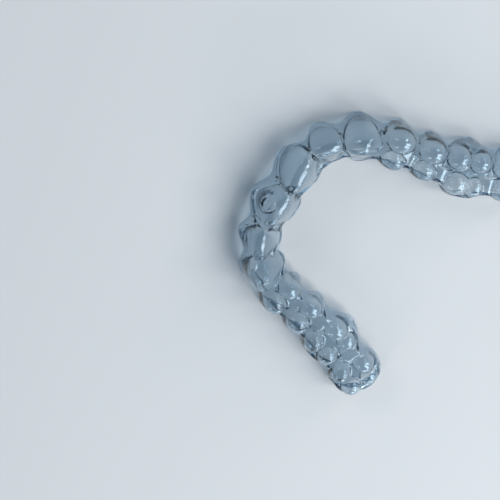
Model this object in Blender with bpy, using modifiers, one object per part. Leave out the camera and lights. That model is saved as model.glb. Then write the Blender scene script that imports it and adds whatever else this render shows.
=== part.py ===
"""Clear dental aligner: one thermoformed shell over the fourteen teeth of an upper arch.

The shell lies as it rests on a table, on its trimmed edges with the biting side up. Front teeth face -Y.
Its outer skin is a loft: half sections stand side by side along the arch, each runs from the crest over the
teeth down to the trimmed edge, and a fan of them closes each end behind the last molar.
"""

from dataclasses import dataclass

import bpy
import numpy as np
from mathutils import Matrix

MM = 0.001

# The sheet
SHEET_THICKNESS = 0.65 * MM
SHEET_COLOUR = (0.78, 0.87, 0.92, 1.0)
SHEET_ROUGHNESS = 0.06
SHEET_IOR = 1.5

# The arch line runs under the incisal edges and the central grooves, from the middle of the front backwards
FRONT_SETBACK = 0.6 * MM
CANINE_HALF_WIDTH = 17.4 * MM
CANINE_DEPTH = 7.2 * MM
MOLAR_HALF_WIDTH = 22.2 * MM
MOLAR_DEPTH = 25.4 * MM
ARCH_END_HALF_WIDTH = 28.8 * MM
ARCH_END_DEPTH = 41.6 * MM
CANINE_SHIFT = 0.7 * MM
MOLAR_SHIFT = 0.5 * MM

# Crowns
TOOTH_OVERLAP = 0.10 * MM
NECK_NARROWING = 0.20
WIDEST_AT = 0.72
WALL_BULGE = 0.35 * MM
EDGE_ROUNDING = 0.9 * MM
TIP_ROUNDING = 0.2
CUSP_RADIUS = 3.4 * MM
CUSP_STEEPENING = 2.67 * MM
CUSP_ROUNDING = 0.3 * MM
FOSSA_DEPTH = 2.5 * MM
BRIDGING = 0.5 * MM
WALL_TAPER = 1.7
FRONT_WALL_TAPER = 1.2
CINGULUM = 3.4 * MM
HOLLOW_TAPER = 0.75

# Gum cover below the crowns
MARGIN_WIDTH = 1.4 * MM
PAPILLA_RISE = 3.3 * MM
GUM_BRIDGING = 0.6 * MM
GUM_ROUNDING = 0.9 * MM
GUM_FLARE = 0.20
PAPILLA_TAPER = 0.30
PAPILLA_INSET = 1.3 * MM

# Trimmed edge
TRIM_RISE_BETWEEN = 1.7 * MM
END_GUM_REACH = 6.0 * MM
END_TRIM_HEIGHT = 1.5 * MM

# Attachment pads on the front of two teeth at the +X side
PAD_HALF_WIDTH = 2.1 * MM
PAD_HALF_LENGTH = 2.9 * MM
PAD_PROUD = 0.85 * MM
BLOCK_HALF_WIDTH = 0.9 * MM
BLOCK_HALF_LENGTH = 1.15 * MM
BLOCK_PROUD = 1.4 * MM
CENTRAL_PAD_HEIGHT = 7.9 * MM
LATERAL_PAD_HEIGHT = 4.8 * MM
LATERAL_PAD_SHARE = 0.62
PAD_BRIDGING = 0.25 * MM

# Sections of the loft: their outline is read along rays from an axis inside the shell
STATION_STEP = 1.0 * MM
ROWS = 11
FAN_SECTIONS = 17
LAST_STATION = 0.5 * MM
CROWN_NEIGHBOURHOOD = 1.6
AXIS_HEIGHT = 2.2 * MM
RAY_LENGTH = 16.0 * MM
RAYS = 140
LOWEST_RAY = np.radians(130)
BISECTIONS = 24
ARCH_LINE_POINTS = 2000


@dataclass(frozen=True)
class Tooth:
    """One kind of tooth as the outside of the sheet covers it, measured from the arch line."""

    width: float
    height: float
    neck_out: float
    neck_in: float
    edge_out: float
    edge_in: float
    gum_out: float
    gum_in: float
    trim_out: float
    trim_in: float
    squareness: float
    top_narrowing: float
    wall_taper: float
    scallop_out: float
    scallop_in: float
    cusps: tuple
    corner: float = 0.0
    point: float = 0.0


def tooth(
    width,
    height,
    neck,
    edge,
    gum,
    trim,
    squareness,
    top_narrowing,
    wall_taper=WALL_TAPER,
    scallop=(1.0, 1.0),
    cusps=(),
    corner=0.0,
    point=0.0,
):
    """A tooth from sizes in millimetres. Pairs hold the outer side, then the inner side, and a cusp holds its
    place along the arch, its place across it, its drop below the highest cusp and its length beside its width.
    """
    return Tooth(
        width=width * MM,
        height=height * MM,
        neck_out=neck[0] * MM,
        neck_in=neck[1] * MM,
        edge_out=edge[0] * MM,
        edge_in=edge[1] * MM,
        gum_out=gum[0] * MM,
        gum_in=gum[1] * MM,
        trim_out=trim[0] * MM,
        trim_in=trim[1] * MM,
        squareness=squareness,
        top_narrowing=top_narrowing,
        wall_taper=wall_taper,
        scallop_out=scallop[0],
        scallop_in=scallop[1],
        cusps=tuple((along * MM, across * MM, drop * MM, length) for along, across, drop, length in cusps),
        corner=corner * MM,
        point=point * MM,
    )


CENTRAL = tooth(
    width=8.8,
    height=11.2,
    neck=(3.7, 4.9),
    edge=(1.3, 1.1),
    gum=(4.1, 5.5),
    trim=(0.3, 1.3),
    squareness=2.8,
    top_narrowing=0.04,
    wall_taper=FRONT_WALL_TAPER,
    scallop=(1.0, 0.35),
    corner=0.7,
)
LATERAL = tooth(
    width=6.7,
    height=10.0,
    neck=(3.2, 4.5),
    edge=(1.2, 1.1),
    gum=(3.6, 5.0),
    trim=(0.8, 1.4),
    squareness=2.8,
    top_narrowing=0.05,
    wall_taper=FRONT_WALL_TAPER,
    scallop=(1.0, 0.5),
    corner=1.1,
)
CANINE = tooth(
    width=7.6,
    height=11.8,
    neck=(4.0, 4.9),
    edge=(1.5, 1.4),
    gum=(4.4, 5.4),
    trim=(0.0, 1.6),
    squareness=2.2,
    top_narrowing=0.05,
    scallop=(1.0, 0.8),
    point=2.6,
)
PREMOLAR_1 = tooth(
    width=7.2,
    height=10.3,
    neck=(4.6, 4.5),
    edge=(3.8, 3.9),
    gum=(5.0, 4.9),
    trim=(0.4, 2.2),
    squareness=2.4,
    top_narrowing=0.06,
    cusps=((0, 1.9, 0, 1.25), (0, -2.5, 0.8, 1.2)),
)
PREMOLAR_2 = tooth(
    width=6.9,
    height=9.6,
    neck=(4.6, 4.5),
    edge=(3.8, 4.0),
    gum=(5.0, 4.9),
    trim=(0.8, 2.4),
    squareness=2.4,
    top_narrowing=0.06,
    cusps=((0, 1.9, 0, 1.2), (0, -2.5, 0.6, 1.2)),
)
MOLAR_1 = tooth(
    width=10.2,
    height=8.8,
    neck=(5.8, 5.6),
    edge=(4.8, 4.8),
    gum=(6.2, 6.0),
    trim=(0.0, 2.4),
    squareness=3.0,
    top_narrowing=0.06,
    cusps=((-2.4, 2.9, 0, 1), (2.4, 2.8, 0.4, 1), (-1.5, -2.6, 0, 1.25), (2.6, -2.6, 0.8, 1)),
)
MOLAR_2 = tooth(
    width=9.5,
    height=8.1,
    neck=(5.6, 5.4),
    edge=(4.6, 4.6),
    gum=(6.0, 5.8),
    trim=(0.3, 2.0),
    squareness=2.8,
    top_narrowing=0.06,
    cusps=((-2.2, 2.7, 0, 1), (2.2, 2.5, 0.5, 1), (-1.6, -2.9, 0.2, 1.2), (2.3, -2.2, 1.2, 1)),
)
HALF_ARCH = (CENTRAL, LATERAL, CANINE, PREMOLAR_1, PREMOLAR_2, MOLAR_1, MOLAR_2)

# Pads by kind of tooth: height above the ground and size beside the largest
PADS = {CENTRAL: (CENTRAL_PAD_HEIGHT, 1.0), LATERAL: (LATERAL_PAD_HEIGHT, LATERAL_PAD_SHARE)}


@dataclass(frozen=True)
class Stand:
    """How one tooth stands off an even row, and how much wider its gum cover is."""

    out: float
    back: float
    turn: float
    wider_out: float
    wider_in: float


def stand(out=0.0, back=0.0, turn=0.0, wider=(0.0, 0.0)):
    """A stand from millimetres and from degrees of turn that bring the tooth's back corner outwards."""
    return Stand(out * MM, back * MM, np.radians(turn), wider[0] * MM, wider[1] * MM)


# Teeth that stand off the even row, by kind and side: the side with the pads is 1
STANDS = {
    (CENTRAL, -1): stand(back=0.7, turn=20, wider=(0.1, 0.5)),
    (LATERAL, -1): stand(out=1.0, back=0.35, turn=-9, wider=(1.1, -0.7)),
    (CANINE, -1): stand(out=0.2, wider=(0.2, 0.0)),
    (PREMOLAR_1, -1): stand(wider=(-0.2, 0.5)),
    (PREMOLAR_2, -1): stand(out=0.3),
    (CENTRAL, 1): stand(out=-0.9, back=-0.7, turn=7, wider=(-0.1, 0.6)),
    (LATERAL, 1): stand(back=0.3, wider=(0.7, 0.0)),
    (CANINE, 1): stand(wider=(0.3, 0.0)),
    (PREMOLAR_1, 1): stand(out=-0.7, back=-0.5, wider=(0.1, 1.0)),
    (PREMOLAR_2, 1): stand(out=-0.5, back=-0.5, wider=(0.1, 0.9)),
    (MOLAR_1, 1): stand(out=-0.2, back=-0.4, wider=(0.5, 0.7)),
    (MOLAR_2, 1): stand(wider=(0.5, 0.1)),
}


def smooth_max(a, b, rounding):
    return (a + b + np.sqrt((a - b) ** 2 + rounding**2)) / 2


def smooth_min(a, b, rounding):
    return -smooth_max(-a, -b, rounding)


def natural_spline(knots, points):
    """Second derivatives of the natural cubic spline through the points."""
    count = len(knots)
    gap = np.diff(knots)
    matrix = np.eye(count)
    right = np.zeros((count, 2))
    for i in range(1, count - 1):
        matrix[i, i - 1 : i + 2] = gap[i - 1], 2 * (gap[i - 1] + gap[i]), gap[i]
        right[i] = 6 * ((points[i + 1] - points[i]) / gap[i] - (points[i] - points[i - 1]) / gap[i - 1])
    return np.linalg.solve(matrix, right)


class Arch:
    """The arch line in plan, by distance along it from the middle of the front."""

    def __init__(self):
        half = np.array(
            [
                (CANINE_HALF_WIDTH, CANINE_DEPTH),
                (MOLAR_HALF_WIDTH, MOLAR_DEPTH),
                (ARCH_END_HALF_WIDTH, ARCH_END_DEPTH),
            ]
        )
        shift = np.array([(CANINE_SHIFT, 0), (MOLAR_SHIFT, 0), (0, 0)])
        right = half + shift
        left = half * (-1, 1) + shift
        points = np.vstack([left[::-1], [(0, -FRONT_SETBACK)], right])
        knots = np.concatenate([[0], np.cumsum(np.linalg.norm(np.diff(points, axis=0), axis=1))])
        bend = natural_spline(knots, points)
        fine = np.linspace(knots[0], knots[-1], ARCH_LINE_POINTS)
        i = np.clip(np.searchsorted(knots, fine) - 1, 0, len(knots) - 2)
        gap = (knots[i + 1] - knots[i])[:, None]
        a = (knots[i + 1] - fine)[:, None] / gap
        b = 1 - a
        line = a * points[i] + b * points[i + 1]
        line = line + ((a**3 - a) * bend[i] + (b**3 - b) * bend[i + 1]) * gap**2 / 6
        length = np.concatenate([[0], np.cumsum(np.linalg.norm(np.diff(line, axis=0), axis=1))])
        self.length = length - np.interp(knots[len(half)], fine, length)
        self.line = line
        self.heading = np.gradient(line, self.length, axis=0)

    def at(self, distance):
        """Points of the line and the unit directions along it and outwards."""
        point = np.stack([np.interp(distance, self.length, self.line[:, k]) for k in (0, 1)], axis=-1)
        along = np.stack([np.interp(distance, self.length, self.heading[:, k]) for k in (0, 1)], axis=-1)
        along = along / np.linalg.norm(along, axis=-1, keepdims=True)
        return point, along, np.stack([along[..., 1], -along[..., 0]], axis=-1)


def tooth_row():
    """Every tooth as (kind, distance of its middle along the arch, side), from the -X end to the +X end."""
    edge = 0.0
    right = []
    for kind in HALF_ARCH:
        right.append((kind, edge + kind.width / 2, 1))
        edge += kind.width
    return [(kind, -middle, -1) for kind, middle, _ in reversed(right)] + right


def stand_of(kind, side):
    return STANDS.get((kind, side), stand())


def crown_axes(arch, kind, middle, side):
    """The place of a crown's middle in plan, and the unit directions to its back and its outer side."""
    own = stand_of(kind, side)
    point, heading, out = arch.at(middle)
    back = heading * side
    place = point + own.out * out + own.back * back
    turned_back = np.cos(own.turn) * back + np.sin(own.turn) * out
    turned_out = np.cos(own.turn) * out - np.sin(own.turn) * back
    return place, turned_back, turned_out


def crown(kind, along, across, up):
    """Signed distance, about, to the covered crown of one tooth; along grows towards the back."""
    outer = wall_out(kind, up)
    inner = wall_in(kind, up)
    middle = (outer + inner) / 2
    half = (outer - inner) / 2
    wide = half_width(kind, up)
    power = kind.squareness
    ring = ((np.abs(along) / wide) ** power + (np.abs(across - middle) / half) ** power) ** (1 / power)
    walls = (ring - 1) * np.minimum(wide, half)
    return smooth_max(walls, up - biting_surface(kind, along, across), EDGE_ROUNDING)


def biting_surface(kind, along, across):
    """Height of the biting side: domed cusps round a groove, or an incisal edge with its corners."""
    if kind.cusps:
        surface = np.full(np.broadcast(along, across).shape, kind.height - FOSSA_DEPTH)
        for place, offset, drop, length in kind.cusps:
            away = ((along - place) / length) ** 2 + (across - offset) ** 2
            dome = kind.height - drop - away / (2 * CUSP_RADIUS) - away**2 / CUSP_STEEPENING**3
            surface = smooth_max(surface, dome, CUSP_ROUNDING)
        return surface
    reach = along / (kind.width / 2)
    distal = kind.corner * np.clip(reach, 0, None) ** 3
    peak = kind.point * (np.sqrt(reach**2 + TIP_ROUNDING**2) - TIP_ROUNDING)
    return kind.height - distal - peak


def wall_out(kind, up):
    """Reach of a crown's outer wall from the arch line at a height."""
    share = np.clip(up / kind.height, 0, 1)
    taper = (kind.edge_out - kind.neck_out) * share**kind.wall_taper
    return kind.neck_out + taper + WALL_BULGE * np.sin(np.pi * share)


def wall_in(kind, up):
    """Reach of a crown's inner wall, below zero: a plain taper, or a hollow above the bulge near the gum."""
    share = np.clip(up / kind.height, 0, 1)
    if kind.cusps:
        hollow = share**kind.wall_taper
    else:
        hollow = np.clip((up - CINGULUM) / (kind.height - CINGULUM), 0, 1) ** HOLLOW_TAPER
    return -kind.neck_in - (kind.edge_in - kind.neck_in) * hollow - WALL_BULGE * np.sin(np.pi * share)


def half_width(kind, up):
    """Half the crown's width along the arch: narrow at the neck, widest at the contact, closing at the top."""
    share = np.clip(up / kind.height, 0, 1)
    below = np.clip(1 - share / WIDEST_AT, 0, 1)
    above = np.clip((share - WIDEST_AT) / (1 - WIDEST_AT), 0, 1)
    return (kind.width / 2 + TOOTH_OVERLAP) * (1 - NECK_NARROWING * below**2 - kind.top_narrowing * above**2)


def pad(kind, height, size, along, across, up):
    """An oval pad with a square block in its middle, on the front of a tooth."""
    depth = across - wall_out(kind, height)
    top = wall_out(kind, height + PAD_HALF_LENGTH)
    bottom = wall_out(kind, height - PAD_HALF_LENGTH)
    depth = depth - (top - bottom) / (2 * PAD_HALF_LENGTH) * (up - height)
    oval = (along / (PAD_HALF_WIDTH * size)) ** 2 + ((up - height) / (PAD_HALF_LENGTH * size)) ** 2
    mound = (np.sqrt(oval + (depth / (PAD_PROUD * size)) ** 2) - 1) * PAD_PROUD * size
    flank = np.abs(along) - BLOCK_HALF_WIDTH * size
    end = np.abs(up - height) - BLOCK_HALF_LENGTH * size
    block = np.maximum(np.maximum(flank, end), np.abs(depth) - BLOCK_PROUD * size)
    return smooth_min(mound, block, PAD_BRIDGING)


class Sections:
    """The half sections of the loft, in order round the shell, with what the gum cover needs at each."""

    def __init__(self, arch):
        row = tooth_row()
        end = row[-1][1] + LAST_STATION
        spread = stations(row, end)
        count = len(spread)
        turn = np.linspace(0, np.pi, FAN_SECTIONS + 2)[1:-1]
        closing = np.full(FAN_SECTIONS, end)
        self.regular = count
        self.distance = np.concatenate([spread, closing, spread[::-1], -closing])
        self.turn = np.concatenate([np.zeros(count), turn, np.full(count, np.pi), np.pi - turn])
        point, along, out = arch.at(self.distance)
        side = np.sign(self.distance)[:, None]
        self.foot = point
        self.out = np.cos(self.turn)[:, None] * out + np.sin(self.turn)[:, None] * side * along
        inward = self.turn / np.pi
        outer = scallop(row, self.distance, "out")
        inner = scallop(row, self.distance, "in")
        behind = np.sin(self.turn) ** 2
        self.trim = mixed(outer[0], inner[0], inward, END_TRIM_HEIGHT, behind)
        self.reach = mixed(outer[1], inner[1], inward, END_GUM_REACH, behind)
        between = outer[2] * (1 - behind)
        self.margin = self.trim + MARGIN_WIDTH + (PAPILLA_RISE - TRIM_RISE_BETWEEN) * between
        self.taper = GUM_FLARE + (PAPILLA_TAPER - GUM_FLARE) * between


def mixed(outer, inner, inward, end, behind):
    """Outer side, inner side and the end behind the last molar, mixed round the fan."""
    return (outer * (1 - inward) + inner * inward) * (1 - behind) + end * behind


def stations(row, end):
    """Distances of the stations along the arch, twice as close together across the pads."""
    even = np.linspace(-end, end, 2 * round(end / STATION_STEP) + 1)
    halfway = (even[1:] + even[:-1]) / 2
    across_pads = np.zeros(len(halfway), bool)
    for kind, middle, side in row:
        if side > 0 and kind in PADS:
            across_pads |= np.abs(halfway - middle) < PAD_HALF_WIDTH * PADS[kind][1]
    return np.sort(np.concatenate([even, halfway[across_pads]]))


def scallop(row, distance, wall):
    """Trim height, gum reach and the share of a gap between teeth, at distances along the arch."""
    middles = np.array([middle for _, middle, _ in row])
    trims = np.array([getattr(kind, "trim_" + wall) for kind, _, _ in row])
    reaches = np.array([getattr(kind, "gum_" + wall) for kind, _, _ in row])
    wider = np.array([getattr(stand_of(kind, side), "wider_" + wall) for kind, _, side in row])
    depths = np.array([getattr(kind, "scallop_" + wall) for kind, _, _ in row])
    halves = np.array([kind.width / 2 for kind, _, _ in row])
    nearest = np.argmin(np.abs(distance[:, None] - middles) / halves, axis=1)
    share = np.clip(np.abs(distance - middles[nearest]) / halves[nearest], 0, 1)
    between = (1 - np.cos(np.pi * share)) / 2
    depth = between * np.interp(distance, middles, depths)
    trim = np.interp(distance, middles, trims) + TRIM_RISE_BETWEEN * depth
    reach = np.interp(distance, middles, reaches + wider) - PAPILLA_INSET * depth
    return trim, reach, between


def gum(sections, reach, up):
    """Signed distance, about, to the gum cover; reach is the distance out from the arch line."""
    edge = sections.reach[:, None] + sections.taper[:, None] * (sections.trim[:, None] - up)
    return smooth_max(reach - edge, up - sections.margin[:, None], GUM_ROUNDING)


def shell_field(arch, sections, reach, up):
    """Signed distance, about, to the dressed arch, for points at each section's reach and height."""
    x = sections.foot[:, None, 0] + sections.out[:, None, 0] * reach
    y = sections.foot[:, None, 1] + sections.out[:, None, 1] * reach
    field = gum(sections, reach, up)
    crowns = np.full(field.shape, RAY_LENGTH)
    for kind, middle, side in tooth_row():
        near = np.abs(sections.distance - middle) < CROWN_NEIGHBOURHOOD * kind.width
        place, back, out = crown_axes(arch, kind, middle, side)
        dx = x[near] - place[0]
        dy = y[near] - place[1]
        along = dx * back[0] + dy * back[1]
        across = dx * out[0] + dy * out[1]
        crowns[near] = smooth_min(crowns[near], crown(kind, along, across, up[near]), BRIDGING)
        if side > 0 and kind in PADS:
            bump = pad(kind, *PADS[kind], along, across, up[near])
            crowns[near] = smooth_min(crowns[near], bump, PAD_BRIDGING)
    return smooth_min(field, crowns, GUM_BRIDGING)


def section_points(arch, sections):
    """Points (sections, rows + 1, 3) of the outer skin, from the crest to the trimmed edge."""
    angle = np.linspace(0, LOWEST_RAY, RAYS)[None, :]
    near = np.zeros((len(sections.distance), RAYS))
    far = np.full(near.shape, RAY_LENGTH)
    for _ in range(BISECTIONS):
        middle = (near + far) / 2
        field = shell_field(arch, sections, middle * np.sin(angle), AXIS_HEIGHT + middle * np.cos(angle))
        outside = field > 0
        far = np.where(outside, middle, far)
        near = np.where(outside, near, middle)
    radius = (near + far) / 2
    reach = radius * np.sin(angle)
    up = AXIS_HEIGHT + radius * np.cos(angle)
    points = np.empty((len(radius), ROWS + 1, 3))
    for i, (foot, out, trim) in enumerate(zip(sections.foot, sections.out, sections.trim)):
        rows = trimmed_rows(reach[i], up[i], trim)
        points[i, :, :2] = foot + out * rows[:, :1]
        points[i, :, 2] = rows[:, 1]
    return points


def trimmed_rows(reach, up, trim):
    """A section's outline cut at the trim height and divided evenly."""
    last = len(up) - 1 - np.argmax(up[::-1] > trim)
    last = min(last, len(up) - 2)
    share = (up[last] - trim) / (up[last] - up[last + 1])
    cut = np.array([reach[last] + share * (reach[last + 1] - reach[last]), trim])
    line = np.vstack([np.column_stack([reach[: last + 1], up[: last + 1]]), cut])
    length = np.concatenate([[0], np.cumsum(np.linalg.norm(np.diff(line, axis=0), axis=1))])
    even = np.linspace(0, length[-1], ROWS + 1)
    return np.column_stack([np.interp(even, length, line[:, 0]), np.interp(even, length, line[:, 1])])


def loft(points, regular, fan):
    """Vertices and faces through the sections: the two sides share the crest, each fan shares one point."""
    total = len(points)
    crest = np.empty(total, int)
    crest[:regular] = np.arange(regular)
    crest[regular : regular + fan] = regular - 1
    crest[regular + fan : 2 * regular + fan] = np.arange(regular)[::-1]
    crest[2 * regular + fan :] = 0
    rows = points.shape[1] - 1
    vertices = np.vstack([points[:regular, 0], points[:, 1:].reshape(-1, 3)])

    def index(section, row):
        return int(crest[section]) if row == 0 else regular + section * rows + row - 1

    faces = []
    for section in range(total):
        following = (section + 1) % total
        for row in range(rows):
            corners = [index(section, row), index(section, row + 1)]
            corners += [index(following, row + 1), index(following, row)]
            if corners[0] == corners[3]:
                corners.pop()
            faces.append(corners)
    return vertices, faces


def sheet_material():
    material = bpy.data.materials.new("clear_sheet")
    material.use_nodes = True
    shader = material.node_tree.nodes["Principled BSDF"]
    shader.inputs["Base Color"].default_value = SHEET_COLOUR
    shader.inputs["Roughness"].default_value = SHEET_ROUGHNESS
    shader.inputs["Metallic"].default_value = 0.0
    shader.inputs["IOR"].default_value = SHEET_IOR
    shader.inputs["Transmission Weight"].default_value = 1.0
    return material


def stand_on_origin(shell):
    """Moves the mesh so that the finished shell stands on Z = 0 with the middle of its plan at the origin."""
    evaluated = shell.evaluated_get(bpy.context.evaluated_depsgraph_get())
    corners = np.array([corner[:] for corner in evaluated.bound_box])
    low = corners.min(axis=0)
    middle = (low + corners.max(axis=0)) / 2
    shell.data.transform(Matrix.Translation((-middle[0], -middle[1], -low[2])))


def aligner_shell(collection):
    arch = Arch()
    sections = Sections(arch)
    vertices, faces = loft(section_points(arch, sections), sections.regular, FAN_SECTIONS)
    mesh = bpy.data.meshes.new("aligner_shell")
    mesh.from_pydata(vertices.tolist(), [], faces)
    mesh.shade_smooth()
    mesh.materials.append(sheet_material())
    shell = bpy.data.objects.new("aligner_shell", mesh)
    collection.objects.link(shell)
    wall = shell.modifiers.new("sheet", "SOLIDIFY")
    wall.thickness = SHEET_THICKNESS
    wall.offset = -1
    stand_on_origin(shell)


def main():
    for old in list(bpy.data.objects):
        bpy.data.objects.remove(old)
    collection = bpy.data.collections.new("clear_aligner")
    bpy.context.scene.collection.children.link(collection)
    aligner_shell(collection)


main()
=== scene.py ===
"""Looks of a clear dental aligner: the formed sheet with both its skins, its cut edge and its clear plastic.

The sheet is a loft of half sections along the arch. Each section is read from a field of gum cover, crowns,
cusps and attachment pads, once for the outer skin and once for the inner one. Sizes are in millimetres until
the mesh is made. The part in model.glb gives the shell's place.
"""

from dataclasses import dataclass
from math import pi, radians

import bpy
import numpy as np
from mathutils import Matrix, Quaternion, Vector

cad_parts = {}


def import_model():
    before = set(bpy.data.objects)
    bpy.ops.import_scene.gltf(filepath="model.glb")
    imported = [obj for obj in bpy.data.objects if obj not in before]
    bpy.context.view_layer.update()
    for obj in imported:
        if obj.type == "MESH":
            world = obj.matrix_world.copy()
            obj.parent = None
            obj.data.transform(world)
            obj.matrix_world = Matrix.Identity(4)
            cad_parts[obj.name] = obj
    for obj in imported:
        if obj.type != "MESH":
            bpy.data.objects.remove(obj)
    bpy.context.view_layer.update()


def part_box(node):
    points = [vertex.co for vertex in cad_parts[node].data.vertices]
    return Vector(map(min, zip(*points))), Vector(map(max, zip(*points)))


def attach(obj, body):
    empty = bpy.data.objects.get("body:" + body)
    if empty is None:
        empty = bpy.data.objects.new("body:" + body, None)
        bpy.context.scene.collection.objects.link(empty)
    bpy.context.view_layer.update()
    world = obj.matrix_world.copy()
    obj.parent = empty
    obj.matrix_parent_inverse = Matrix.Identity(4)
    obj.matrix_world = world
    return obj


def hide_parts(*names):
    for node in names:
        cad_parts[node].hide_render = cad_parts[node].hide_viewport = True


MM = 0.001

# Sheet
SHEET_THICKNESS = 0.65
CUT_EDGE_ROUNDING = 0.08

# Arch line under the incisal edges and the central grooves, from the middle of the front backwards
FRONT_SETBACK = 0.6
CANINE_HALF_WIDTH = 17.4
CANINE_DEPTH = 7.2
MOLAR_HALF_WIDTH = 22.2
MOLAR_DEPTH = 25.4
ARCH_END_HALF_WIDTH = 28.8
ARCH_END_DEPTH = 41.6
CANINE_SHIFT = 0.7
MOLAR_SHIFT = 0.5
ARCH_LINE_POINTS = 4000

# Crowns
TOOTH_OVERLAP = 0.02
NECK_NARROWING = 0.20
WIDEST_AT = 0.66
WALL_BULGE = 0.40
TIP_ROUNDING = 0.2
CINGULUM = 3.4
HOLLOW_TAPER = 0.75
FOSSA_DEPTH = 2.7
CUSP_RADIUS = 3.4
CUSP_STEEPENING = 2.67

# Gum cover below the crowns
MARGIN_WIDTH = 1.6
PAPILLA_RISE = 3.6
GUM_FLARE = 0.20
PAPILLA_TAPER = 0.30
PAPILLA_INSET = 1.3

# Trimmed edge
TRIM_RISE_BETWEEN = 1.7
END_GUM_REACH = 6.0
END_TRIM_HEIGHT = 1.5

# Attachment pads on the front of two teeth at the +X side
PAD_HALF_WIDTH = 2.1
PAD_HALF_LENGTH = 2.9
PAD_PROUD = 0.85
BLOCK_HALF_WIDTH = 0.9
BLOCK_HALF_LENGTH = 1.15
BLOCK_PROUD = 1.4
BLOCK_ROUNDING = 0.10
CENTRAL_PAD_HEIGHT = 7.9
LATERAL_PAD_HEIGHT = 4.8
LATERAL_PAD_SHARE = 0.62
PAD_BRIDGING = 0.10
PAD_SQUARENESS = 3.0

# Sections of the loft, read along rays from an axis inside the shell
STATION_STEP = 0.30
ROWS = 54
FAN_SECTIONS = 40
LAST_STATION = 0.5
CROWN_NEIGHBOURHOOD = 1.3
AXIS_HEIGHT = 2.2
RAY_LENGTH = 16.0
RAYS = 110
LOWEST_RAY = radians(130)
HALVINGS = 12

# Clear plastic; colours are linear, and the density is per metre
PLASTIC_IOR = 1.6
SURFACE_TINT = (0.93, 0.96, 0.98, 1.0)
GLOSS_TINT = (0.78, 0.91, 1.0, 1.0)
DEPTH_COLOUR = (0.43, 0.59, 0.69, 1.0)
DEPTH_DENSITY = 1000.0
# The sheet's value, then its cut edge's
SHEET_ROUGHNESS = (0.01, 0.35)
CLEAR_SHARE = (0.985, 0.45)

# Marks of forming, in metres as the material reads them
LAYER_LINE_STEP = 0.40 * MM
LAYER_LINE_HEIGHT = 0.004 * MM
LAYER_LINES_FADE = (4.0 * MM, 6.5 * MM)
LAYER_LINES_WANDER = 0.6
WAVINESS_STEP = 2.2 * MM
WAVINESS_HEIGHT = 0.03 * MM
WAVINESS_DETAIL = 2.0
# Blender's wave texture repeats every tenth of pi at a scale of 1
WAVE_TURN = pi / 10

# Tints of the lamps' light that passes through the sheet, square to it and at a slant
SHADOW_FACING = (0.88, 0.915, 0.935, 1.0)
SHADOW_GRAZING = (0.22, 0.32, 0.40, 1.0)
SHADOW_BLEND = 0.35

# Floor
FLOOR_RADIUS = 2.5
FLOOR_SIDES = 96
FLOOR_COLOUR = (0.62, 0.65, 0.68, 1.0)
FLOOR_ROUGHNESS = 0.9
FLOOR_GLOSS = 0.1
# Distances from the part, in metres, over which the floor passes into the backdrop
COVE = (0.12, 0.60)

# Backdrop: heights of a sight line as the sine of its angle above the floor
WALL_TOP = 0.17
WALL_COLOUR = (0.66, 0.70, 0.73, 1.0)
CEILING_FROM = 0.38
CEILING_COLOUR = (0.025, 0.06, 0.085, 1.0)

# Lamps: name, place and size in metres, radiance
LAMPS = (
    ("key_left", (0.074, 0.516, 0.55), (0.26, 0.50), 7.6),
    ("key_right", (-0.274, 0.444, 0.55), (0.26, 0.50), 7.6),
    ("front", (-0.15, -0.60, 0.35), (0.26, 0.13), 6.0),
    ("side", (0.60, -0.05, 0.35), (0.10, 0.32), 7.0),
    ("left", (-0.60, 0.12, 0.30), (0.10, 0.36), 8.0),
    ("back", (0.38, 0.52, 0.22), (0.34, 0.10), 8.0),
)

# Camera, fitted to the photograph; the lens and the sensor are in millimetres too
CAMERA_PLACE = (-54.65, -79.47, 226.33)
CAMERA_AIM = (15.06, -18.33, 5.0)
CAMERA_ROLL = radians(171.89)
CAMERA_LENS = 82.99
SENSOR_WIDTH = 36.0
CAMERA_NEAREST = 0.01


@dataclass(frozen=True)
class Skin:
    """How closely one skin of the sheet follows the teeth."""

    inset: float
    edge_rounding: float
    cusp_rounding: float
    bridging: float
    gum_rounding: float
    gum_bridging: float


OUTER = Skin(
    inset=0.0,
    edge_rounding=0.7,
    cusp_rounding=0.16,
    bridging=0.16,
    gum_rounding=0.3,
    gum_bridging=0.16,
)
# The inner skin is rounder at the crowns' edges, so that they bend light as a lens does
INNER = Skin(
    inset=SHEET_THICKNESS,
    edge_rounding=0.9,
    cusp_rounding=0.08,
    bridging=0.08,
    gum_rounding=0.2,
    gum_bridging=0.10,
)


@dataclass(frozen=True)
class Cusp:
    """A domed cusp, placed from the crown's middle: drop below the tooth's height, length over width."""

    along: float
    across: float
    drop: float
    length: float = 1.0


@dataclass(frozen=True)
class Tooth:
    """One kind of tooth as the sheet's outside covers it; pairs hold the outer side, then the inner one."""

    width: float
    height: float
    neck: tuple
    edge: tuple
    gum: tuple
    trim: tuple
    squareness: float
    top_narrowing: float
    wall_taper: float = 1.7
    scallop: tuple = (1.0, 1.0)
    cusps: tuple = ()
    corner: float = 0.0
    point: float = 0.0


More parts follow.
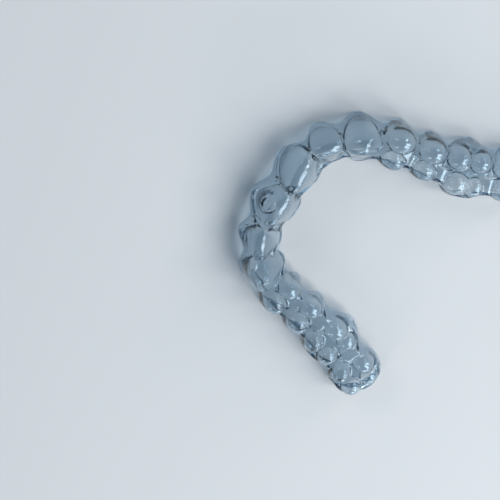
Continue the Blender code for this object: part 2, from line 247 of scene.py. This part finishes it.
CENTRAL = Tooth(
    width=8.8,
    height=11.2,
    neck=(3.7, 4.9),
    edge=(1.3, 1.1),
    gum=(4.1, 5.5),
    trim=(0.3, 1.3),
    squareness=2.8,
    top_narrowing=0.04,
    wall_taper=1.2,
    scallop=(1.0, 0.35),
    corner=0.7,
)
LATERAL = Tooth(
    width=6.7,
    height=10.0,
    neck=(3.2, 4.5),
    edge=(1.2, 1.1),
    gum=(3.6, 5.0),
    trim=(0.8, 1.4),
    squareness=2.8,
    top_narrowing=0.08,
    wall_taper=1.2,
    scallop=(1.0, 0.5),
    corner=1.1,
)
CANINE = Tooth(
    width=7.6,
    height=11.8,
    neck=(4.0, 4.9),
    edge=(1.5, 1.4),
    gum=(4.4, 5.4),
    trim=(0.0, 1.6),
    squareness=2.2,
    top_narrowing=0.10,
    scallop=(1.0, 0.8),
    point=2.6,
)
PREMOLAR_1 = Tooth(
    width=7.2,
    height=10.3,
    neck=(4.6, 4.5),
    edge=(3.8, 3.9),
    gum=(5.0, 4.9),
    trim=(0.4, 2.2),
    squareness=2.4,
    top_narrowing=0.14,
    cusps=(Cusp(0.0, 1.9, 0.0, 1.25), Cusp(0.0, -2.5, 0.8, 1.2)),
)
PREMOLAR_2 = Tooth(
    width=6.9,
    height=9.6,
    neck=(4.6, 4.5),
    edge=(3.8, 4.0),
    gum=(5.0, 4.9),
    trim=(0.8, 2.4),
    squareness=2.4,
    top_narrowing=0.14,
    cusps=(Cusp(0.0, 1.9, 0.0, 1.2), Cusp(0.0, -2.5, 0.6, 1.2)),
)
MOLAR_1 = Tooth(
    width=10.2,
    height=8.8,
    neck=(5.8, 5.6),
    edge=(4.8, 4.8),
    gum=(6.2, 6.0),
    trim=(0.0, 2.4),
    squareness=3.0,
    top_narrowing=0.12,
    cusps=(
        Cusp(-2.4, 2.9, 0.0),
        Cusp(2.4, 2.8, 0.4),
        Cusp(-1.5, -2.6, 0.0, 1.25),
        Cusp(2.6, -2.6, 0.8),
    ),
)
MOLAR_2 = Tooth(
    width=9.5,
    height=8.1,
    neck=(5.6, 5.4),
    edge=(4.6, 4.6),
    gum=(6.0, 5.8),
    trim=(0.3, 2.0),
    squareness=2.8,
    top_narrowing=0.12,
    cusps=(
        Cusp(-2.2, 2.7, 0.0),
        Cusp(2.2, 2.5, 0.5),
        Cusp(-1.6, -2.9, 0.2, 1.2),
        Cusp(2.3, -2.2, 1.2),
    ),
)
HALF_ARCH = (CENTRAL, LATERAL, CANINE, PREMOLAR_1, PREMOLAR_2, MOLAR_1, MOLAR_2)

# Pads by kind of tooth: height above the ground and size beside the largest
PADS = {CENTRAL: (CENTRAL_PAD_HEIGHT, 1.0), LATERAL: (LATERAL_PAD_HEIGHT, LATERAL_PAD_SHARE)}


@dataclass(frozen=True)
class Stand:
    """How one tooth stands off an even row: out, back, turned back corner outwards, gum cover wider."""

    out: float = 0.0
    back: float = 0.0
    turn: float = 0.0
    wider: tuple = (0.0, 0.0)


# The -X side is -1 and the side with the pads is 1
STANDS = {
    (CENTRAL, -1): Stand(back=0.7, turn=radians(20), wider=(0.1, 0.5)),
    (LATERAL, -1): Stand(out=1.0, back=0.35, turn=radians(-9), wider=(1.1, -0.7)),
    (CANINE, -1): Stand(out=0.2, wider=(0.2, 0.0)),
    (PREMOLAR_1, -1): Stand(wider=(-0.2, 0.5)),
    (PREMOLAR_2, -1): Stand(out=0.3),
    (CENTRAL, 1): Stand(out=-0.9, back=-0.7, turn=radians(7), wider=(-0.1, 0.6)),
    (LATERAL, 1): Stand(back=0.3, wider=(0.7, 0.0)),
    (CANINE, 1): Stand(wider=(0.3, 0.0)),
    (PREMOLAR_1, 1): Stand(out=-0.7, back=-0.5, wider=(0.1, 1.0)),
    (PREMOLAR_2, 1): Stand(out=-0.5, back=-0.5, wider=(0.1, 0.9)),
    (MOLAR_1, 1): Stand(out=-0.2, back=-0.4, wider=(0.5, 0.7)),
    (MOLAR_2, 1): Stand(wider=(0.5, 0.1)),
}


def smooth_max(a, b, rounding):
    return (a + b + np.sqrt((a - b) ** 2 + rounding**2)) / 2


def smooth_min(a, b, rounding):
    return -smooth_max(-a, -b, rounding)


def natural_spline(knots, points):
    """Second derivatives of the natural cubic spline through the points."""
    count = len(knots)
    gap = np.diff(knots)
    matrix = np.eye(count)
    right = np.zeros((count, 2))
    for i in range(1, count - 1):
        matrix[i, i - 1 : i + 2] = gap[i - 1], 2 * (gap[i - 1] + gap[i]), gap[i]
        right[i] = 6 * ((points[i + 1] - points[i]) / gap[i] - (points[i] - points[i - 1]) / gap[i - 1])
    return np.linalg.solve(matrix, right)


class Arch:
    """The arch line in plan, by distance along it from the middle of the front."""

    def __init__(self):
        half = np.array(
            [
                (CANINE_HALF_WIDTH, CANINE_DEPTH),
                (MOLAR_HALF_WIDTH, MOLAR_DEPTH),
                (ARCH_END_HALF_WIDTH, ARCH_END_DEPTH),
            ]
        )
        shift = np.array([(CANINE_SHIFT, 0), (MOLAR_SHIFT, 0), (0, 0)])
        right = half + shift
        left = half * (-1, 1) + shift
        points = np.vstack([left[::-1], [(0, -FRONT_SETBACK)], right])
        knots = np.concatenate([[0], np.cumsum(np.linalg.norm(np.diff(points, axis=0), axis=1))])
        bend = natural_spline(knots, points)
        fine = np.linspace(knots[0], knots[-1], ARCH_LINE_POINTS)
        i = np.clip(np.searchsorted(knots, fine) - 1, 0, len(knots) - 2)
        gap = (knots[i + 1] - knots[i])[:, None]
        a = (knots[i + 1] - fine)[:, None] / gap
        b = 1 - a
        line = a * points[i] + b * points[i + 1]
        line = line + ((a**3 - a) * bend[i] + (b**3 - b) * bend[i + 1]) * gap**2 / 6
        length = np.concatenate([[0], np.cumsum(np.linalg.norm(np.diff(line, axis=0), axis=1))])
        self.length = length - np.interp(knots[len(half)], fine, length)
        self.line = line
        self.heading = np.gradient(line, self.length, axis=0)

    def at(self, distance):
        """Points of the line and the unit directions along it and outwards."""
        point = np.stack([np.interp(distance, self.length, self.line[:, k]) for k in (0, 1)], axis=-1)
        along = np.stack([np.interp(distance, self.length, self.heading[:, k]) for k in (0, 1)], axis=-1)
        along = along / np.linalg.norm(along, axis=-1, keepdims=True)
        return point, along, np.stack([along[..., 1], -along[..., 0]], axis=-1)


def tooth_row():
    """Every tooth as (kind, distance of its middle along the arch, side), from the -X end to the +X end."""
    edge = 0.0
    right = []
    for kind in HALF_ARCH:
        right.append((kind, edge + kind.width / 2, 1))
        edge += kind.width
    return [(kind, -middle, -1) for kind, middle, _ in reversed(right)] + right


def stand_of(kind, side):
    return STANDS.get((kind, side), Stand())


def crown_axes(arch, kind, middle, side):
    """The place of a crown's middle in plan, and the unit directions to its back and its outer side."""
    stand = stand_of(kind, side)
    point, heading, out = arch.at(middle)
    back = heading * side
    place = point + stand.out * out + stand.back * back
    turned_back = np.cos(stand.turn) * back + np.sin(stand.turn) * out
    turned_out = np.cos(stand.turn) * out - np.sin(stand.turn) * back
    return place, turned_back, turned_out


def wall_out(kind, up, inset):
    """Reach of a crown's outer wall from the arch line at a height."""
    share = np.clip(up / kind.height, 0, 1)
    taper = (kind.edge[0] - kind.neck[0]) * share**kind.wall_taper
    return kind.neck[0] + taper + WALL_BULGE * np.sin(np.pi * share) - inset


def wall_in(kind, up, inset):
    """Reach of a crown's inner wall, below zero: a plain taper, or a hollow above the bulge near the gum."""
    share = np.clip(up / kind.height, 0, 1)
    if kind.cusps:
        hollow = share**kind.wall_taper
    else:
        hollow = np.clip((up - CINGULUM) / (kind.height - CINGULUM), 0, 1) ** HOLLOW_TAPER
    reach = kind.neck[1] + (kind.edge[1] - kind.neck[1]) * hollow + WALL_BULGE * np.sin(np.pi * share)
    return inset - reach


def biting_surface(kind, along, across, skin):
    """Height of the biting side: domed cusps round a groove, or an incisal edge with its corners."""
    if kind.cusps:
        surface = np.full(np.broadcast(along, across).shape, kind.height - FOSSA_DEPTH)
        for cusp in kind.cusps:
            away = ((along - cusp.along) / cusp.length) ** 2 + (across - cusp.across) ** 2
            dome = kind.height - cusp.drop - away / (2 * CUSP_RADIUS) - away**2 / CUSP_STEEPENING**3
            surface = smooth_max(surface, dome, skin.cusp_rounding)
        return surface - skin.inset
    reach = along / (kind.width / 2)
    distal = kind.corner * np.clip(reach, 0, None) ** 3
    peak = kind.point * (np.sqrt(reach**2 + TIP_ROUNDING**2) - TIP_ROUNDING)
    return kind.height - distal - peak - skin.inset


def half_width(kind, up):
    """Half the crown's width along the arch: narrow at the neck, widest at the contact, closing above."""
    share = np.clip(up / kind.height, 0, 1)
    below = np.clip(1 - share / WIDEST_AT, 0, 1)
    above = np.clip((share - WIDEST_AT) / (1 - WIDEST_AT), 0, 1)
    return (kind.width / 2 + TOOTH_OVERLAP) * (1 - NECK_NARROWING * below**2 - kind.top_narrowing * above**2)


def crown(kind, along, across, up, skin):
    """Signed distance, about, to the covered crown of one tooth; along grows towards the back."""
    outer = wall_out(kind, up, skin.inset)
    inner = wall_in(kind, up, skin.inset)
    middle = (outer + inner) / 2
    half = (outer - inner) / 2
    wide = half_width(kind, up)
    power = kind.squareness
    ring = ((np.abs(along) / wide) ** power + (np.abs(across - middle) / half) ** power) ** (1 / power)
    walls = (ring - 1) * np.minimum(wide, half)
    return smooth_max(walls, up - biting_surface(kind, along, across, skin), skin.edge_rounding)


def pad(kind, height, size, along, across, up, inset):
    """An oval pad with a square block in its middle, on the front of a tooth."""
    top = wall_out(kind, height + PAD_HALF_LENGTH, inset)
    bottom = wall_out(kind, height - PAD_HALF_LENGTH, inset)
    depth = across - wall_out(kind, height, inset) - (top - bottom) / (2 * PAD_HALF_LENGTH) * (up - height)
    wide = PAD_HALF_WIDTH * size - inset / 2
    long = PAD_HALF_LENGTH * size - inset / 2
    proud = PAD_PROUD * size
    oval = np.sqrt((along / wide) ** 2 + ((up - height) / long) ** 2)
    lens = (oval**PAD_SQUARENESS + np.abs(depth / proud) ** PAD_SQUARENESS) ** (1 / PAD_SQUARENESS)
    mound = (lens - 1) * proud
    flank = np.abs(along) - (BLOCK_HALF_WIDTH * size - inset / 2)
    end = np.abs(up - height) - (BLOCK_HALF_LENGTH * size - inset / 2)
    sides = smooth_max(flank, end, BLOCK_ROUNDING)
    block = smooth_max(sides, np.abs(depth) - BLOCK_PROUD * size, BLOCK_ROUNDING)
    return smooth_min(mound, block, PAD_BRIDGING)


class Sections:
    """The half sections of the loft, in order round the shell, with what the gum cover needs at each."""

    def __init__(self, arch):
        row = tooth_row()
        end = row[-1][1] + LAST_STATION
        count = 2 * round(end / STATION_STEP) + 1
        spread = np.linspace(-end, end, count)
        turn = np.linspace(0, np.pi, FAN_SECTIONS + 2)[1:-1]
        closing = np.full(FAN_SECTIONS, end)
        self.regular = count
        self.distance = np.concatenate([spread, closing, spread[::-1], -closing])
        self.turn = np.concatenate([np.zeros(count), turn, np.full(count, np.pi), np.pi - turn])
        point, along, out = arch.at(self.distance)
        side = np.sign(self.distance)[:, None]
        self.foot = point
        self.out = np.cos(self.turn)[:, None] * out + np.sin(self.turn)[:, None] * side * along
        inward = self.turn / np.pi
        outer = scallop(row, self.distance, 0)
        inner = scallop(row, self.distance, 1)
        behind = np.sin(self.turn) ** 2
        self.trim = mixed(outer[0], inner[0], inward, END_TRIM_HEIGHT, behind)
        self.reach = mixed(outer[1], inner[1], inward, END_GUM_REACH, behind)
        between = outer[2] * (1 - behind)
        self.margin = self.trim + MARGIN_WIDTH + (PAPILLA_RISE - TRIM_RISE_BETWEEN) * between
        self.taper = GUM_FLARE + (PAPILLA_TAPER - GUM_FLARE) * between


def mixed(outer, inner, inward, end, behind):
    """Outer side, inner side and the end behind the last molar, mixed round the fan."""
    return (outer * (1 - inward) + inner * inward) * (1 - behind) + end * behind


def scallop(row, distance, wall):
    """Trim height, gum reach and the share of a gap between teeth, at distances along the arch."""
    middles = np.array([middle for _, middle, _ in row])
    trims = np.array([kind.trim[wall] for kind, _, _ in row])
    reaches = np.array([kind.gum[wall] + stand_of(kind, side).wider[wall] for kind, _, side in row])
    depths = np.array([kind.scallop[wall] for kind, _, _ in row])
    halves = np.array([kind.width / 2 for kind, _, _ in row])
    nearest = np.argmin(np.abs(distance[:, None] - middles) / halves, axis=1)
    share = np.clip(np.abs(distance - middles[nearest]) / halves[nearest], 0, 1)
    between = (1 - np.cos(np.pi * share)) / 2
    depth = between * np.interp(distance, middles, depths)
    trim = np.interp(distance, middles, trims) + TRIM_RISE_BETWEEN * depth
    reach = np.interp(distance, middles, reaches) - PAPILLA_INSET * depth
    return trim, reach, between


def gum(sections, reach, up, skin):
    """Signed distance, about, to the gum cover; reach is the distance out from the arch line."""
    edge = sections.reach[:, None] + sections.taper[:, None] * (sections.trim[:, None] - up) - skin.inset
    return smooth_max(reach - edge, up - sections.margin[:, None] + skin.inset, skin.gum_rounding)


def shell_field(arch, sections, reach, up, skin):
    """Signed distance, about, to one skin, for points at each section's reach and height."""
    x = sections.foot[:, None, 0] + sections.out[:, None, 0] * reach
    y = sections.foot[:, None, 1] + sections.out[:, None, 1] * reach
    crowns = np.full(reach.shape, RAY_LENGTH)
    for kind, middle, side in tooth_row():
        near = np.abs(sections.distance - middle) < CROWN_NEIGHBOURHOOD * kind.width
        place, back, out = crown_axes(arch, kind, middle, side)
        dx = x[near] - place[0]
        dy = y[near] - place[1]
        along = dx * back[0] + dy * back[1]
        across = dx * out[0] + dy * out[1]
        field = crown(kind, along, across, up[near], skin)
        crowns[near] = smooth_min(crowns[near], field, skin.bridging)
        if side > 0 and kind in PADS:
            bump = pad(kind, *PADS[kind], along, across, up[near], skin.inset)
            crowns[near] = smooth_min(crowns[near], bump, PAD_BRIDGING)
    return smooth_min(gum(sections, reach, up, skin), crowns, skin.gum_bridging)


def skin_lines(arch, sections, skin):
    """Reach and height of a skin along every ray of every section, from the crest down."""
    angle = np.linspace(0, LOWEST_RAY, RAYS)[None, :]

    def on_rays(radius):
        return radius * np.sin(angle), AXIS_HEIGHT + radius * np.cos(angle)

    near = np.zeros((len(sections.distance), RAYS))
    far = np.full(near.shape, RAY_LENGTH)
    for _ in range(HALVINGS):
        middle = (near + far) / 2
        field = shell_field(arch, sections, *on_rays(middle), skin)
        far = np.where(field > 0, middle, far)
        near = np.where(field > 0, near, middle)
    low = shell_field(arch, sections, *on_rays(near), skin)
    high = shell_field(arch, sections, *on_rays(far), skin)
    return on_rays(near + (far - near) * np.clip(low / (low - high), 0, 1))


def trimmed_rows(reach, up, trim):
    """A section's outline cut at the trim height and divided evenly."""
    last = len(up) - 1 - np.argmax(up[::-1] > trim)
    last = min(last, len(up) - 2)
    share = (up[last] - trim) / (up[last] - up[last + 1])
    cut = np.array([reach[last] + share * (reach[last + 1] - reach[last]), trim])
    line = np.vstack([np.column_stack([reach[: last + 1], up[: last + 1]]), cut])
    length = np.concatenate([[0], np.cumsum(np.linalg.norm(np.diff(line, axis=0), axis=1))])
    even = np.linspace(0, length[-1], ROWS + 1)
    return np.column_stack([np.interp(even, length, line[:, 0]), np.interp(even, length, line[:, 1])])


def skin_points(arch, sections, skin):
    """Points (sections, rows + 1, 3) of one skin, from the crest to just above the trimmed edge."""
    reach, up = skin_lines(arch, sections, skin)
    points = np.empty((len(reach), ROWS + 1, 3))
    for i, (foot, out, trim) in enumerate(zip(sections.foot, sections.out, sections.trim)):
        rows = trimmed_rows(reach[i], up[i], trim + CUT_EDGE_ROUNDING)
        points[i, :, :2] = foot + out * rows[:, :1]
        points[i, :, 2] = rows[:, 1]
    return points


def crest_of(sections):
    """The crest point that each section starts from: both sides share it, and so does each fan."""
    regular = sections.regular
    crest = np.empty(len(sections.distance), int)
    crest[:regular] = np.arange(regular)
    crest[regular : regular + FAN_SECTIONS] = regular - 1
    crest[regular + FAN_SECTIONS : 2 * regular + FAN_SECTIONS] = np.arange(regular)[::-1]
    crest[2 * regular + FAN_SECTIONS :] = 0
    return crest


def skin_faces(index, flip):
    """Faces between neighbouring sections, from a table of vertex numbers (sections, rows)."""
    following = np.roll(index, -1, axis=0)
    corners = np.stack([index[:, :-1], index[:, 1:], following[:, 1:], following[:, :-1]], axis=-1)
    faces = []
    for corner in corners.reshape(-1, 4).tolist():
        if corner[0] == corner[3]:
            corner.pop()
        faces.append(corner[::-1] if flip else corner)
    return faces


def shell_mesh():
    """Vertices, faces and the cut edge's share at each vertex, for both skins and the edge between them."""
    arch = Arch()
    sections = Sections(arch)
    crest = crest_of(sections)
    total = len(crest)
    regular = sections.regular
    skins = [skin_points(arch, sections, skin) for skin in (OUTER, INNER)]
    vertices = []
    tables = []
    start = 0
    for points in skins:
        vertices += [points[:regular, 0], points[:, 1:].reshape(-1, 3)]
        rest = start + regular + np.arange(total * ROWS).reshape(total, ROWS)
        tables.append(np.column_stack([start + crest, rest]))
        start += regular + total * ROWS
    outer = skins[0][:, -1]
    inner = skins[1][:, -1]
    for share in (CUT_EDGE_ROUNDING / SHEET_THICKNESS, 1 - CUT_EDGE_ROUNDING / SHEET_THICKNESS):
        edge = outer + (inner - outer) * share
        edge[:, 2] -= CUT_EDGE_ROUNDING
        vertices.append(edge)
    edges = start + np.arange(2 * total).reshape(2, total)
    rim = np.column_stack([tables[0][:, -1], edges[0], edges[1], tables[1][:, -1]])
    faces = skin_faces(tables[0], False) + skin_faces(tables[1], True) + skin_faces(rim, False)
    vertices = np.vstack(vertices)
    cut = np.zeros(len(vertices))
    cut[start:] = 1.0
    return vertices, faces, cut


def placed(vertices):
    """The points in metres, with the shell where the part in model.glb has it."""
    low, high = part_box("aligner_shell")
    middle = (vertices.min(axis=0) + vertices.max(axis=0)) / 2
    ground = vertices[:, 2].min()
    moved = vertices - (middle[0], middle[1], ground)
    return moved * MM + np.array([(low.x + high.x) / 2, (low.y + high.y) / 2, low.z])


def formed_shell():
    """The formed sheet, which stands in for the plain solid."""
    vertices, faces, cut = shell_mesh()
    mesh = bpy.data.meshes.new("formed_shell")
    mesh.from_pydata(placed(vertices).tolist(), [], faces)
    mesh.shade_smooth()
    mesh.attributes.new("cut_edge", "FLOAT", "POINT").data.foreach_set("value", cut)
    mesh.materials.append(clear_plastic())
    shell = bpy.data.objects.new("formed_shell", mesh)
    bpy.context.scene.collection.objects.link(shell)
    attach(shell, "root")
    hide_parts("aligner_shell")


def clear_plastic():
    """Clear plastic: steel-blue depth, a trace of haze, faint layer lines by the gum, a frosted cut edge."""
    material = bpy.data.materials.new("clear_plastic")
    material.use_nodes = True
    nodes = material.node_tree.nodes
    links = material.node_tree.links
    shader = nodes["Principled BSDF"]
    shader.inputs["Base Color"].default_value = SURFACE_TINT
    shader.inputs["IOR"].default_value = PLASTIC_IOR
    shader.inputs["Specular Tint"].default_value = GLOSS_TINT
    cut = nodes.new("ShaderNodeAttribute")
    cut.attribute_name = "cut_edge"
    roughness = ranged(nodes, links, cut.outputs["Fac"], (0, 1), SHEET_ROUGHNESS)
    clearness = ranged(nodes, links, cut.outputs["Fac"], (0, 1), CLEAR_SHARE)
    links.new(roughness, shader.inputs["Roughness"])
    links.new(clearness, shader.inputs["Transmission Weight"])
    links.new(forming_marks(nodes, links), shader.inputs["Normal"])
    depth = nodes.new("ShaderNodeVolumeAbsorption")
    depth.inputs["Color"].default_value = DEPTH_COLOUR
    depth.inputs["Density"].default_value = DEPTH_DENSITY
    links.new(depth.outputs[0], nodes["Material Output"].inputs["Volume"])
    links.new(with_plain_shadow(nodes, links, shader), nodes["Material Output"].inputs["Surface"])
    return material


def ranged(nodes, links, value, inside, outside):
    """The value moved from one range to another."""
    node = nodes.new("ShaderNodeMapRange")
    node.inputs["From Min"].default_value, node.inputs["From Max"].default_value = inside
    node.inputs["To Min"].default_value, node.inputs["To Max"].default_value = outside
    links.new(value, node.inputs["Value"])
    return node.outputs["Result"]


def forming_marks(nodes, links):
    """Layer lines that the printed tooth model leaves near the gum, over a slight waviness of the sheet."""
    place = nodes.new("ShaderNodeTexCoord")
    split = nodes.new("ShaderNodeSeparateXYZ")
    links.new(place.outputs["Object"], split.inputs[0])
    low = ranged(nodes, links, split.outputs["Z"], LAYER_LINES_FADE, (1, 0))
    lines = nodes.new("ShaderNodeTexWave")
    lines.bands_direction = "Z"
    lines.inputs["Scale"].default_value = WAVE_TURN / LAYER_LINE_STEP
    lines.inputs["Distortion"].default_value = LAYER_LINES_WANDER
    links.new(place.outputs["Object"], lines.inputs["Vector"])
    masked = nodes.new("ShaderNodeMath")
    masked.operation = "MULTIPLY"
    links.new(lines.outputs["Fac"], masked.inputs[0])
    links.new(low, masked.inputs[1])
    ridges = nodes.new("ShaderNodeBump")
    ridges.inputs["Distance"].default_value = LAYER_LINE_HEIGHT
    links.new(masked.outputs[0], ridges.inputs["Height"])
    waves = nodes.new("ShaderNodeTexNoise")
    waves.inputs["Scale"].default_value = 1 / WAVINESS_STEP
    waves.inputs["Detail"].default_value = WAVINESS_DETAIL
    links.new(place.outputs["Object"], waves.inputs["Vector"])
    marks = nodes.new("ShaderNodeBump")
    marks.inputs["Distance"].default_value = WAVINESS_HEIGHT
    links.new(waves.outputs["Fac"], marks.inputs["Height"])
    links.new(ridges.outputs["Normal"], marks.inputs["Normal"])
    return marks.outputs["Normal"]


def with_plain_shadow(nodes, links, shader):
    """The shader, with light that passes through to the floor left straight, and dimmer at a slant."""
    facing = nodes.new("ShaderNodeLayerWeight")
    facing.inputs["Blend"].default_value = SHADOW_BLEND
    tint = nodes.new("ShaderNodeMix")
    tint.data_type = "RGBA"
    links.new(facing.outputs["Facing"], tint.inputs["Factor"])
    tint.inputs["A"].default_value = SHADOW_FACING
    tint.inputs["B"].default_value = SHADOW_GRAZING
    shadow = nodes.new("ShaderNodeBsdfTransparent")
    links.new(tint.outputs["Result"], shadow.inputs["Color"])
    path = nodes.new("ShaderNodeLightPath")
    plain = nodes.new("ShaderNodeMath")
    plain.operation = "MAXIMUM"
    links.new(path.outputs["Is Shadow Ray"], plain.inputs[0])
    links.new(path.outputs["Is Diffuse Ray"], plain.inputs[1])
    mix = nodes.new("ShaderNodeMixShader")
    links.new(plain.outputs[0], mix.inputs[0])
    links.new(shader.outputs[0], mix.inputs[1])
    links.new(shadow.outputs[0], mix.inputs[2])
    return mix.outputs[0]


def floor():
    """A plain floor under the part."""
    bpy.ops.mesh.primitive_circle_add(vertices=FLOOR_SIDES, radius=FLOOR_RADIUS, fill_type="NGON")
    ground = bpy.context.object
    ground.name = "floor"
    ground.data.materials.append(pale_matt())


def pale_matt():
    """A pale matt surface that passes into the backdrop away from the part."""
    material = bpy.data.materials.new("floor")
    material.use_nodes = True
    nodes = material.node_tree.nodes
    links = material.node_tree.links
    shader = nodes["Principled BSDF"]
    shader.inputs["Base Color"].default_value = FLOOR_COLOUR
    shader.inputs["Roughness"].default_value = FLOOR_ROUGHNESS
    shader.inputs["Specular IOR Level"].default_value = FLOOR_GLOSS
    backdrop = nodes.new("ShaderNodeEmission")
    backdrop.inputs["Color"].default_value = WALL_COLOUR
    place = nodes.new("ShaderNodeTexCoord")
    away = nodes.new("ShaderNodeVectorMath")
    away.operation = "LENGTH"
    links.new(place.outputs["Object"], away.inputs[0])
    cove = nodes.new("ShaderNodeMixShader")
    links.new(ranged(nodes, links, away.outputs["Value"], COVE, (0, 1)), cove.inputs[0])
    links.new(shader.outputs[0], cove.inputs[1])
    links.new(backdrop.outputs[0], cove.inputs[2])
    links.new(cove.outputs[0], nodes["Material Output"].inputs["Surface"])
    return material


def softbox(name, place, size, radiance):
    """A soft lamp aimed at the part, with its place and size in metres and the radiance of its face."""
    light = bpy.data.lights.new(name, "AREA")
    light.shape = "RECTANGLE"
    light.size = size[0]
    light.size_y = size[1]
    light.energy = radiance * pi * size[0] * size[1]
    lamp = bpy.data.objects.new(name, light)
    bpy.context.scene.collection.objects.link(lamp)
    lamp.location = place
    lamp.rotation_euler = (-Vector(place)).to_track_quat("-Z", "Y").to_euler()


def studio():
    """A pale room with a dark ceiling, and the soft lamps."""
    world = bpy.data.worlds.new("studio")
    bpy.context.scene.world = world
    world.use_nodes = True
    nodes = world.node_tree.nodes
    links = world.node_tree.links
    place = nodes.new("ShaderNodeTexCoord")
    split = nodes.new("ShaderNodeSeparateXYZ")
    links.new(place.outputs["Generated"], split.inputs[0])
    room = nodes.new("ShaderNodeValToRGB")
    stops = room.color_ramp.elements
    stops[0].position, stops[0].color = WALL_TOP, WALL_COLOUR
    stops[1].position, stops[1].color = CEILING_FROM, CEILING_COLOUR
    links.new(split.outputs["Z"], room.inputs[0])
    links.new(room.outputs[0], nodes["Background"].inputs["Color"])
    for name, place, size, radiance in LAMPS:
        softbox(name, place, size, radiance)


def camera():
    """The camera at the photograph's viewing angle."""
    data = bpy.data.cameras.new("camera")
    data.lens = CAMERA_LENS
    data.sensor_width = SENSOR_WIDTH
    data.clip_start = CAMERA_NEAREST
    taker = bpy.data.objects.new("camera", data)
    bpy.context.scene.collection.objects.link(taker)
    place = Vector(CAMERA_PLACE) * MM
    aim = Vector(CAMERA_AIM) * MM
    level = (aim - place).to_track_quat("-Z", "Y")
    taker.location = place
    taker.rotation_mode = "QUATERNION"
    taker.rotation_quaternion = level @ Quaternion((0, 0, 1), CAMERA_ROLL)
    bpy.context.scene.camera = taker


def main():
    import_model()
    bpy.context.scene.view_settings.view_transform = "Standard"
    formed_shell()
    floor()
    studio()
    camera()


main()
